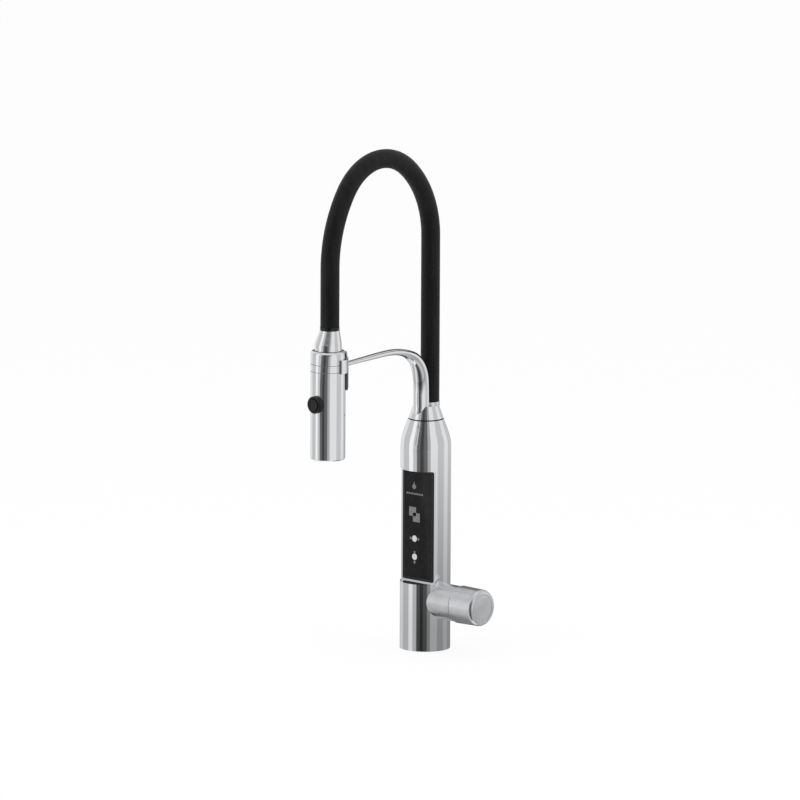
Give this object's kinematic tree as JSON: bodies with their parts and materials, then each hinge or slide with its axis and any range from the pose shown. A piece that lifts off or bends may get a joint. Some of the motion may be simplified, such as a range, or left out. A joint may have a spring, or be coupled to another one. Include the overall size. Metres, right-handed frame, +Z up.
{
  "type": "filtered water kitchen tap",
  "caption": "Pillar kitchen tap with touch panel, side mixer knob, swivelling braided hose arch and a pull-off spray head held in a docking arm.",
  "frame": {"origin": "centre of the base seal's underside, on the worktop's top face, on the column's axis", "axes": "+Z up along the column's axis, -Y to the front where the touch panel faces and the spray head hangs, +X towards the mixer knob"},
  "size_m": [0.108, 0.201, 0.5902],
  "materials": {
    "chrome": "polished",
    "dark_metal": "satin",
    "brass": "machined",
    "copper": "drawn tube",
    "steel": "plain",
    "black_plastic": "satin",
    "frame_plastic": "satin",
    "white_plastic": "moulded",
    "board": "circuit board",
    "clear_plastic": "clear",
    "ceramic": "lapped ceramic",
    "panel_glass": "glossy black",
    "black_rubber": "matt",
    "black_braid": "fine woven"
  },
  "bodies": {
    "column": {"column_body": "chrome", "handle_boss": "chrome", "panel_frame": "frame_plastic", "panel_gasket": "black_rubber", "panel_glass": "panel_glass", "touch_board": "board", "light_guides": "clear_plastic", "panel_back_cover": "black_plastic", "mixing_block": "brass", "inlet_sockets": "brass", "mixed_water_pipe": "copper", "filtered_water_pipe": "copper", "swivel_core": "brass", "swivel_seals": "black_rubber", "swivel_bush": "black_plastic", "cartridge_housing": "white_plastic", "cartridge_nut": "brass", "ceramic_disc_fixed": "ceramic", "handle_dome": "chrome", "base_seal": "black_rubber", "base_insert": "brass", "mounting_shank": "brass", "rubber_washer": "black_rubber", "steel_washer": "steel", "mounting_nut": "brass"},
    "spout": {"swivel_collar": "chrome", "collar_clip": "steel", "docking_arm": "chrome", "dock_cradle": "chrome", "dock_magnet": "steel", "hose_lower_ferrule": "chrome", "hose_tail": "brass", "hose_sleeve": "black_braid", "hose_inner_tube": "black_rubber"},
    "hose_end": {"hose_upper_ferrule": "dark_metal", "neck_nipple": "brass", "head_neck": "chrome", "neck_seal": "black_rubber"},
    "spray_head": {"head_cap": "chrome", "head_ring": "chrome", "head_shell": "chrome", "head_liner": "white_plastic", "diverter_body": "white_plastic", "spool_membrane": "black_rubber", "button_bezel": "black_plastic", "spray_face": "black_plastic", "spray_nozzles": "black_rubber", "aerator_insert": "black_plastic"},
    "button": {"spray_button": "black_plastic", "diverter_spool": "white_plastic"},
    "mixer_sleeve": {"cartridge_carrier": "white_plastic", "ceramic_disc_moving": "ceramic", "stem_pin": "steel"},
    "handle": {"cartridge_stem": "brass", "handle_knob": "chrome", "knob_cap": "chrome", "knob_grub_screw": "steel"}
  },
  "joints": [
    {"name": "spout_swivel", "type": "hinge", "parent": "column", "child": "spout", "pos_m": [0, 0, 0.2408], "axis": [0, 0, 1], "range_deg": [-75, 75]},
    {"name": "hose_lift", "type": "hinge", "parent": "spout", "child": "hose_end", "pos_m": [0, -0.0711, 0.5204], "axis": [-1, 0, 0], "range_deg": [0, 28], "deforming": ["hose_sleeve", "hose_inner_tube"]},
    {"name": "head_spin", "type": "hinge", "parent": "hose_end", "child": "spray_head", "pos_m": [0, -0.1503, 0.332], "axis": [0, 0, 1], "continuous": true},
    {"name": "spray_button", "type": "slide", "parent": "spray_head", "child": "button", "axis": [0, 1, 0], "range_m": [0, 0.002], "stiffness_N_per_m": 400, "springref_m": -0.006},
    {"name": "handle_turn", "type": "hinge", "parent": "column", "child": "mixer_sleeve", "pos_m": [0.034, 0, 0.0518], "axis": [1, 0, 0], "range_deg": [-45, 45]},
    {"name": "handle_lift", "type": "hinge", "parent": "mixer_sleeve", "child": "handle", "pos_m": [0.034, 0, 0.0518], "axis": [0, -1, 0], "range_deg": [0, 18]}
  ]
}
